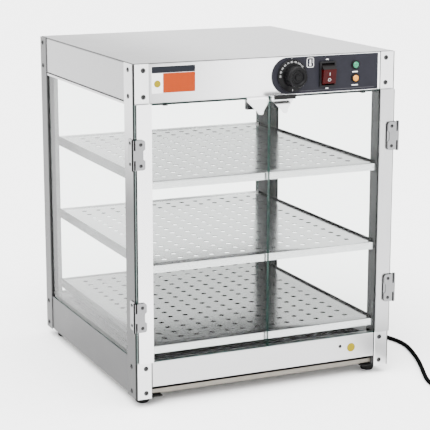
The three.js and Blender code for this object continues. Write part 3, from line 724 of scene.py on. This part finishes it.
def screw_mesh(name, radius, height):
    """A round-headed screw with a cross recess, standing on the origin along +Z."""
    bm = bmesh.new()
    angles = [math.radians(a) for a in range(0, 90, 15)]
    dome = [(radius * math.cos(a), height * math.sin(a)) for a in angles]
    turned(bm, [(0, 0), *dome, (0, height)], Vector((0, 0, 0)), Vector((0, 0, 1)), 28)
    head = make_object(name + "_head", bm)
    bm = bmesh.new()
    arm, half = radius * 0.55, radius * 0.14
    for turn in (0, 90):
        ring = [Matrix.Rotation(math.radians(turn), 3, "Z") @ Vector((u, v, 0))
                for u, v in ((-arm, -half), (arm, -half), (arm, half), (-arm, half))]
        low = [bm.verts.new((p * 0.45 + Vector((0, 0, height * 0.25))) * MM) for p in ring]
        high = [bm.verts.new((p + Vector((0, 0, height * 1.4))) * MM) for p in ring]
        bm.faces.new(low[::-1])
        bm.faces.new(high)
        join_rings(bm, low, high)
    cross = make_object(name + "_cross", bm)
    cutter = head.modifiers.new("recess", "BOOLEAN")
    cutter.object = cross
    cutter.operation = "DIFFERENCE"
    cutter.use_self = True
    graph = bpy.context.evaluated_depsgraph_get()
    mesh = bpy.data.meshes.new_from_object(head.evaluated_get(graph))
    mesh.name = name
    mesh.materials.clear()
    mesh.materials.append(screw_steel)
    mesh.materials.append(recess_shade)
    # The faces inside the cross recess are painted black as shade.
    for face in mesh.polygons:
        reach = face.center.xy.length / MM
        if reach < arm and face.center.z / MM < 0.8 * height * math.sqrt(1 - (reach / radius) ** 2):
            face.material_index = 1
    smooth_below(mesh, 30)
    for helper in (head, cross):
        bpy.data.objects.remove(helper)
    return mesh


def place_screw(name, mesh, place, outward, body, turn):
    screw = bpy.data.objects.new(name, mesh)
    bpy.context.scene.collection.objects.link(screw)
    facing = outward.to_track_quat("Z", "Y").to_matrix().to_4x4()
    screw.matrix_world = Matrix.Translation(place) @ facing @ Matrix.Rotation(math.radians(turn), 4, "Z")
    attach(screw, body)


def build_screws():
    large = screw_mesh("screw_large", 4.4, 1.8)
    small = screw_mesh("screw_small", 3.2, 1.3)
    turn = 0
    for label, side in SIDES:
        outward = Vector((side, 0, 0))
        front_y, rear_y = SCREW_SIDE_Y
        for level, z in enumerate(SCREW_LEVELS):
            turn += 37
            spot = case(side * SCREW_FRONT_X, -FACE, z)
            place_screw(f"screw_{label}_front_{level}", large, spot, FRONT, "case", turn)
            spot = case(side * FACE, front_y, z)
            place_screw(f"screw_{label}_side_{level}", large, spot, outward, "case", turn)
            spot = case(side * FACE, rear_y, z)
            place_screw(f"screw_{label}_rear_{level}", large, spot, outward, "case", turn)
        for level in ("upper", "lower"):
            low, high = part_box(f"hinge_{label}_{level}_door_leaf")
            middle = (low.z + high.z) / 2
            for name, rise in (("a", -HINGE_RISE), ("b", HINGE_RISE)):
                turn += 53
                spot = case(side * HINGE_DOOR_X, 0, 0)
                spot.y = low.y
                spot.z = middle + rise * MM
                place_screw(f"screw_{label}_{level}_door_{name}", small, spot, FRONT, f"{label}_door", turn)
                spot = case(side * HINGE_FRAME[0], HINGE_FRAME[1], 0)
                spot.z = middle + rise * MM
                place_screw(f"screw_{label}_{level}_frame_{name}", small, spot, outward, "case", turn)
    place_screw("screw_base_front", small, case(*BASE_SCREW), FRONT, "case", 20)


# Shelves ---------------------------------------------------------------------

HOLE_PITCH = 30.0
HOLE_RADIUS = 5.3
HOLE_COLUMNS = 13
HOLE_ROWS = 15
SHELF_SHEET = 1.0
SHELF_BEND = 2.0
# Painted light: the three shelves are lit and shaded copies of one steel, the lower shelf darkest.
SHELF_LIGHTING = {"shelf_upper": 0.48, "shelf_middle": 0.66, "shelf_lower": 0.24}
LIP_LEVEL = 0.5


def grid_lines(low, high, count):
    """Edges of the hole cells, centred on the case, and the two ends of the flat."""
    half = count * HOLE_PITCH / 2
    return [low] + [-half + HOLE_PITCH * i for i in range(count + 1)] + [high]


def hole_cell(bm, corner, centre, top):
    """A square cell with a round hole. corner is its four corner vertices, anticlockwise from the lowest."""
    steps = 5
    ring = []
    for i in range(4 * steps):
        a = math.radians(225 + 360 * i / (4 * steps))
        ring.append(bm.verts.new(case(centre[0] + HOLE_RADIUS * math.cos(a),
                                      centre[1] + HOLE_RADIUS * math.sin(a), top)))
    for q in range(4):
        mid = steps * q
        span = [ring[(mid + k) % (4 * steps)] for k in range(steps + 1)]
        bm.faces.new([corner[q], corner[(q + 1) % 4], *reversed(span)])


def perforated_flat(bm, x_lines, y_lines, top):
    verts = [[bm.verts.new(case(x, y, top)) for x in x_lines] for y in y_lines]
    for j in range(len(y_lines) - 1):
        for i in range(len(x_lines) - 1):
            corner = [verts[j][i], verts[j][i + 1], verts[j + 1][i + 1], verts[j + 1][i]]
            if 0 < i < len(x_lines) - 2 and 0 < j < len(y_lines) - 2:
                centre = ((x_lines[i] + x_lines[i + 1]) / 2, (y_lines[j] + y_lines[j + 1]) / 2)
                hole_cell(bm, corner, centre, top)
            else:
                bm.faces.new(corner)
    return verts


def shelf_walls(bm, verts, bottom):
    """Bent walls round the flat, mitred at the corners."""
    rows, columns = len(verts), len(verts[0])
    loop = [(0, i) for i in range(columns)] + [(j, columns - 1) for j in range(1, rows)]
    loop += [(rows - 1, i) for i in range(columns - 2, -1, -1)] + [(j, 0) for j in range(rows - 2, 0, -1)]

    def outward(j, i):
        return Vector(((i == columns - 1) - (i == 0), (j == rows - 1) - (j == 0), 0))

    last = [verts[j][i] for j, i in loop]
    start = [(v.co.copy(), outward(*key)) for v, key in zip(last, loop)]
    steps = [(math.sin(a), 1 - math.cos(a)) for a in (math.radians(22.5 * k) for k in range(1, 5))]
    levels = [(SHELF_BEND * s * MM, SHELF_BEND * d * MM) for s, d in steps]
    levels.append((SHELF_BEND * MM, start[0][0].z - bottom))
    for out, down in levels:
        ring = [bm.verts.new(co + way * out - Vector((0, 0, down))) for co, way in start]
        join_rings(bm, last, ring)
        last = ring


def build_shelf(node, level):
    low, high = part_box(node)
    x_lines = grid_lines(low.x / MM + SHELF_BEND, high.x / MM - SHELF_BEND, HOLE_COLUMNS)
    y_lines = grid_lines(case_y(low.y) + SHELF_BEND, case_y(high.y) - SHELF_BEND, HOLE_ROWS)
    bm = bmesh.new()
    flat = perforated_flat(bm, x_lines, y_lines, high.z / MM)
    shelf_walls(bm, flat, low.z)
    shelf = make_object(node + "_perforated", bm, shelf_steel("steel_" + node, level, LIP_LEVEL))
    for face in shelf.data.polygons:
        if face.normal.z < 0:
            shelf.data.flip_normals()
            break
    thick = shelf.modifiers.new("sheet", "SOLIDIFY")
    thick.thickness = SHELF_SHEET * MM
    thick.offset = -1
    thick.use_even_offset = True
    graph = bpy.context.evaluated_depsgraph_get()
    sheet = bpy.data.meshes.new_from_object(shelf.evaluated_get(graph))
    shelf.modifiers.clear()
    shelf.data = sheet
    smooth_below(sheet, 30)
    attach(shelf, "case")
    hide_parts(node)


# Controls --------------------------------------------------------------------

# Radius and height above the panel; the grip's third value is the depth of its ribs.
SKIRT = [
    (0, 1), (26.6, 1), (27.6, 1.2), (28, 1.8), (28, 3), (27.6, 3.6), (26.6, 4), (20.6, 4.6), (19.4, 5.4),
    (19.1, 5.2), (0, 5.2),
]
GRIP = [
    (19.2, 4.4, 0.0), (18.9, 6.5, 0.45), (18.3, 15, 0.45), (17.9, 24.6, 0.45), (17.4, 26.2, 0.1),
    (16.4, 27.1, 0.0), (15, 27.2, 0.0), (12.4, 26.0, 0.0), (11, 24.4, 0.0), (10.5, 23.1, 0.0),
    (6.2, 23.0, 0.0), (5.6, 23.4, 0.0), (5.0, 25.2, 0.0), (4.2, 25.6, 0.0), (2.2, 25.4, 0.0),
]
RIBS = 40
STEPS_PER_RIB = 4

# The dial's numbers, in millimetres from the knob's axis and from the panel, and the degrees between them.
DIAL_RADIUS = 23.9
DIAL_HEIGHT = 4.4
DIAL_STEP = 17
DIAL_LETTER = 4.6

# Printed marks, rocker and lenses, in case millimetres. A bar is its half width and its two levels.
INK = 0.15
THERMOMETER = (73.8, 87.3, 577.8, 595)
THERMOMETER_LINE = 0.9
TICK_LEVELS = (586, 588.2, 590.4)
SWITCH_BARS = ((2.6, 589.6, 591.4), (2.8, 539.0, 540.7))
LAMP_BARS = (("lamp_green", 5.5), ("lamp_amber", 6.2))
LAMP_BAR_DROP = 4.6
ROCKER_FACE = ((-261.6, 572.6), (-257.8, 549.2))
ROCKER_LIFT = 0.25
ROCKER_RIDGE = 574.0
LENS_RADIUS = 5.6


def build_knob():
    low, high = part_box("thermostat_knob")
    seat = Vector(((low.x + high.x) / 2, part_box("control_panel")[0].y, (low.z + high.z) / 2))
    bm = bmesh.new()
    turned(bm, SKIRT, seat, FRONT, 96)
    skirt = make_object("knob_skirt", bm, knob_plastic, 35)
    bm = bmesh.new()
    rings = []
    for radius, height, depth in GRIP:
        ring = []
        for k in range(RIBS * STEPS_PER_RIB):
            a = 2 * math.pi * k / (RIBS * STEPS_PER_RIB)
            r = radius - depth * (1 - abs(math.cos(a * RIBS / 2))) if depth else radius
            ring.append(bm.verts.new(seat + Vector((r * math.cos(a), -height, r * math.sin(a))) * MM))
        rings.append(ring)
    for a, b in zip(rings, rings[1:]):
        join_rings(bm, a, b)
    bm.faces.new(rings[0][::-1])
    bm.faces.new(rings[-1])
    grip = make_object("knob_grip", bm, knob_plastic, 35)
    for piece in (skirt, grip):
        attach(piece, "knob")
    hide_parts("thermostat_knob")
    build_dial_marks(seat)


def build_dial_marks(seat):
    """Plain temperatures round the skirt, its off line, and the mark on the panel above it.

    The mark is in one piece with the off line and so rides the knob, though it belongs to the panel.
    """
    for i, value in enumerate(range(30, 120, 10)):
        angle = math.radians(180 - DIAL_STEP * i)
        curve = bpy.data.curves.new(f"dial_{value}", "FONT")
        curve.body = str(value)
        curve.size = DIAL_LETTER * MM
        curve.align_x = "CENTER"
        curve.align_y = "CENTER"
        curve.extrude = 0.05 * MM
        curve.resolution_u = 3
        curve.materials.append(dial_ink)
        mark = bpy.data.objects.new(f"dial_{value}", curve)
        bpy.context.scene.collection.objects.link(mark)
        across, up = DIAL_RADIUS * math.cos(angle), DIAL_RADIUS * math.sin(angle)
        spot = seat + Vector((across, -DIAL_HEIGHT, up)) * MM
        upright = Matrix.Rotation(math.radians(90), 4, "X")
        lean = Matrix.Rotation(math.pi / 2 - angle, 4, "Y")
        mark.matrix_world = Matrix.Translation(spot) @ lean @ upright
        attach(mark, "knob")
    bm = bmesh.new()
    x = seat.x / MM
    z = seat.z / MM
    y = case_y(seat.y)
    front_plate(bm, rounded_rectangle(x - 0.6, x + 0.6, z - 26.5, z - 21.8, 0.5), y - 4.0, 0.35)
    front_plate(bm, rounded_rectangle(x - 0.5, x + 0.5, z + 29, z + 31, 0.4), y, INK)
    line = make_object("dial_off_line", bm, dial_ink)
    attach(line, "knob")


def panel_print(name, material, outlines, thick=INK):
    back = case_y(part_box("control_panel")[0].y)
    bm = bmesh.new()
    for outline, hole in outlines:
        front_plate(bm, outline, back, thick, hole)
    piece = make_object(name, bm, material)
    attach(piece, "case")


def build_panel_print():
    """A thermometer sign, plain bars in place of words, and a thin rule."""
    x0, x1, z0, z1 = THERMOMETER
    line = THERMOMETER_LINE
    outside = rounded_rectangle(x0, x1, z0, z1, 3)
    inside = rounded_rectangle(x0 + line, x1 - line, z0 + line, z1 - line, 2.3)
    bulb = (arc(80.5, 582.6, 2.2, 0, 345, 23), None)
    stem = (rounded_rectangle(79.4, 81.6, 583.5, 591.6, 1.0), None)
    ticks = [(rounded_rectangle(83, 84.8, z, z + 0.6, 0.25), None) for z in TICK_LEVELS]
    panel_print("thermometer_mark", white_ink, [(outside, inside), bulb, stem, *ticks])
    x = middle_x("switch_housing")
    bars = [(rounded_rectangle(x - half, x + half, low, high, 0.8), None) for half, low, high in SWITCH_BARS]
    for lamp, half in LAMP_BARS:
        x = middle_x(lamp)
        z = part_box(lamp)[0].z / MM - LAMP_BAR_DROP
        bars.append((rounded_rectangle(x - half, x + half, z - 0.9, z + 0.9, 0.6), None))
    panel_print("panel_bars", white_ink, bars)
    panel_print("panel_rule", grey_ink, [(rounded_rectangle(60, 208, 537.2, 537.8, 0.25), None)], 0.1)


def build_rocker_marks():
    """The usual line and ring for on and off, laid on the rocker's lower face."""
    x = middle_x("switch_rocker")
    top = Vector((x, *ROCKER_FACE[0]))
    bottom = Vector((x, *ROCKER_FACE[1]))
    down = (bottom - top).normalized()
    out = Vector((0, down.z, -down.y))

    def ring(bm, points):
        places = [top + down * along + out * ROCKER_LIFT + Vector((u, 0, 0)) for u, along in points]
        return [bm.verts.new(case(*place)) for place in places]

    bm = bmesh.new()
    bm.faces.new(ring(bm, rounded_rectangle(-0.5, 0.5, 4.2, 9.6, 0.4)))
    outer = ring(bm, arc(0, 17, 2.9, 0, 350, 35))
    inner = ring(bm, arc(0, 17, 2.1, 0, 350, 35))
    join_rings(bm, outer, inner)
    marks = make_object("rocker_marks", bm, dial_ink)
    thick = marks.modifiers.new("ink", "SOLIDIFY")
    thick.thickness = INK * MM
    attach(marks, "rocker")


# Trim ------------------------------------------------------------------------

def label(name, regions, back, thick):
    """A blank printed label made of plain colour fields."""
    for index, (material, outline) in enumerate(regions):
        bm = bmesh.new()
        front_plate(bm, outline, back, thick + 0.02 * index)
        piece = make_object(f"{name}_{index}", bm, material)
        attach(piece, "case")


def build_labels():
    x0, x1, z0, z1 = -216, -136.5, 548.5, 594
    white = rounded_rectangle(x0, x1, z0, z1, 1.5)
    band = rounded_rectangle(x0 + 0.4, x1 - 0.4, z1 - 11.5, z1 - 0.4, 1.1)
    field = rounded_rectangle(x0 + 20.5, x1 - 0.4, z0 + 0.4, z1 - 11.9, 1.1)
    disc = arc(x0 + 10.3, 564.5, 6.0, 0, 345, 23)
    regions = [(white_ink, white), (dark_ink, band), (orange_ink, field), (yellow_ink, disc)]
    label("header_label", regions, -FASCIA_FACE, INK)
    spot = arc(172.5, 58.0, 8.2, 0, 350, 35)
    label("base_label", [(yellow_ink, spot)], -BASE_FACE, INK)


def strip(name, section, start, end, axis, material, slot, body="case"):
    bm = bmesh.new()
    sweep(bm, section, start, end, axis)
    piece = make_object(name, bm, material, 40)
    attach(piece, body)


CHANNEL = [
    (242.2, 532.3), (248.4, 532.3), (248.6, 531.6), (248.6, 527.8),
    (248.2, 527.2), (247.3, 527.2), (247.3, 531.2), (242.4, 531.2),
]


def build_trim():
    glass_ends = (-207.6, 215.6)
    for name, side in SIDES:
        channel = [(side * x, z) for x, z in CHANNEL]
        strip(f"glazing_channel_{name}", channel, *glass_ends, "y", steel_channel, "stainless")
        seal = [(side * 247.1, 209.5), (side * 248.7, 209.5), (side * 248.7, 215.7), (side * 247.1, 215.7)]
        strip(f"glazing_seal_{name}", seal, 85.3, 526.8, "z", rubber, "rubber")
    # Black strips as painted shade in the gap under the header, at the top of the door glass.
    under = [(-250.3, 529.0), (-248.2, 529.0), (-248.2, 532.3), (-250.3, 532.3)]
    strip("door_top_shadow_left", under, -219, -44, "x", rubber, "rubber")
    strip("door_top_shadow_right", under, 50, 219, "x", rubber, "rubber")
    # Black strips as painted shade in the gap under the side header panels.
    for name, side in SIDES:
        shadow_gap = [(side * 248.7, 532.0), (side * 250.0, 532.0), (side * 250.0, 533.4), (side * 248.7, 533.4)]
        strip(f"header_shadow_gap_{name}", shadow_gap, *glass_ends, "y", rubber, "rubber")
    build_pull_pad()
    for name, x in (("left", -191.0), ("right", 187.5)):
        bumper = [(x - 3.6, 527.2), (x + 3.6, 527.2), (x + 3.6, 532.4), (x - 3.6, 532.4)]
        strip(f"door_bumper_{name}", bumper, -249.6, -242.0, "y", rubber, "rubber")


def build_pull_pad():
    """The black bar above the right pull, painted shade at the top of the pull's hook."""
    low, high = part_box("door_pull_right")
    shadow_bar = rounded_rectangle(low.x / MM - 2, high.x / MM, high.z / MM - 4.4, high.z / MM + 3.6, 0.8)
    bm = bmesh.new()
    front_plate(bm, shadow_bar, case_y(low.y), 0.5)
    piece = make_object("pull_shadow_right", bm, rubber)
    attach(piece, "right_door")


# Looks of the CAD pieces -------------------------------------------------------

LEAF = {"base_color": (0.17, 0.17, 0.174, 1), "metallic": 1.0, "roughness": 0.24}
RED = {"base_color": (0.02, 0.0004, 0.0006, 1), "roughness": 0.2, "specular_ior_level": 0.08}
SUNK_ROCKER_SHADE = {"base_color": (0.003, 0.0025, 0.0025, 1), "roughness": 0.3, "specular_ior_level": 0.1}
PACKER_BEHIND_PIN = 1.72
KNUCKLE_FROM_X = 247.5


def hinge_look():
    """Bright leaves, with black on the packer behind them, and painted shade in black on the flanks of the
    knuckles.
    """
    pin_y = sum(c.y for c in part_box("hinge_left_upper_pin")) / 2

    def dark(s, x, y, z):
        turn = s.size(s.facing()["X"])
        flank_shade = s.product(s.above(turn, 0.15), s.math("LESS_THAN", turn, 0.97))
        deep = s.above(y, pin_y - PACKER_BEHIND_PIN * MM)
        inboard = s.math("LESS_THAN", s.size(x), KNUCKLE_FROM_X * MM)
        return s.either(flank_shade, s.product(deep, inboard))

    return two_tone("hinge_leaf_and_packer", dark, LEAF, BLACK_AND_SHADE)


def lens_look(node, colour):
    """A coloured lens inside a dark collar."""
    low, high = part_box(node)
    centre = (low + high) / 2

    def collar(s, x, y, z):
        u = s.math("SUBTRACT", x, centre.x)
        v = s.math("SUBTRACT", z, centre.z)
        reach = s.math("SQRT", s.math("ADD", s.product(u, u), s.product(v, v)))
        return s.above(reach, LENS_RADIUS * MM)

    clear = {"base_color": (*colour, 1), "roughness": 0.14, "specular_ior_level": 0.25}
    return two_tone("lens_" + node, collar, clear, BLACK_AND_SHADE)


# Red below the ridge; above it the rocker is painted black as the shade where its upper end sinks into the
# housing.
def rocker_look():
    return two_tone("rocker_red", lambda s, x, y, z: s.above(z, ROCKER_RIDGE * MM), RED, SUNK_ROCKER_SHADE)


def node_looks():
    """A material for each start of a node's name; the longest match wins."""
    return {
        "post_front": steel_post_front, "post_rear": steel_post_rear, "header_shell": steel_header,
        "header_underside": steel_across, "base_front": steel_across, "base_side": steel_side_shaded,
        "base_rear": steel_across, "deck": steel_deck, "bottom_pan": galvanised,
        "heating_element": steel_dark, "terminal_block": ceramic, "shelf_support": steel_rail,
        "door_stile_left": steel_stile_left, "door_stile_right": steel_stile_right,
        "door_pull": steel_bright, "door_catch": black_plastic, "foot": rubber,
        "control_panel": panel_film, "thermostat": black_plastic, "switch_housing": black_plastic,
        "switch_rocker": rocker_look(),
        "lamp_green": lens_look("lamp_green", (0.008, 0.12, 0.062)),
        "lamp_amber": lens_look("lamp_amber", (0.42, 0.16, 0.012)),
        "wiring_loom": cable, "strain_relief": cable, "hinge": hinge_look(),
        "glass_left": sheet_glass("glass_side", 0, 0.1),
        "glass_right": sheet_glass("glass_side_right", 0, 0.1),
        "glass_rear": sheet_glass("glass_rear", 1), "door_glass": sheet_glass("glass_door", 1),
    }


def dress_nodes():
    looks = node_looks()
    for name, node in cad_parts.items():
        match = [key for key in looks if name.startswith(key)]
        if match:
            node.data.materials.clear()
            node.data.materials.append(looks[max(match, key=len)])


build_camera()
build_cord()
build_world()
build_stage()
dress_nodes()
for shelf_node, shelf_level in SHELF_LIGHTING.items():
    build_shelf(shelf_node, shelf_level)
build_knob()
build_panel_print()
build_rocker_marks()
build_labels()
build_trim()
build_screws()
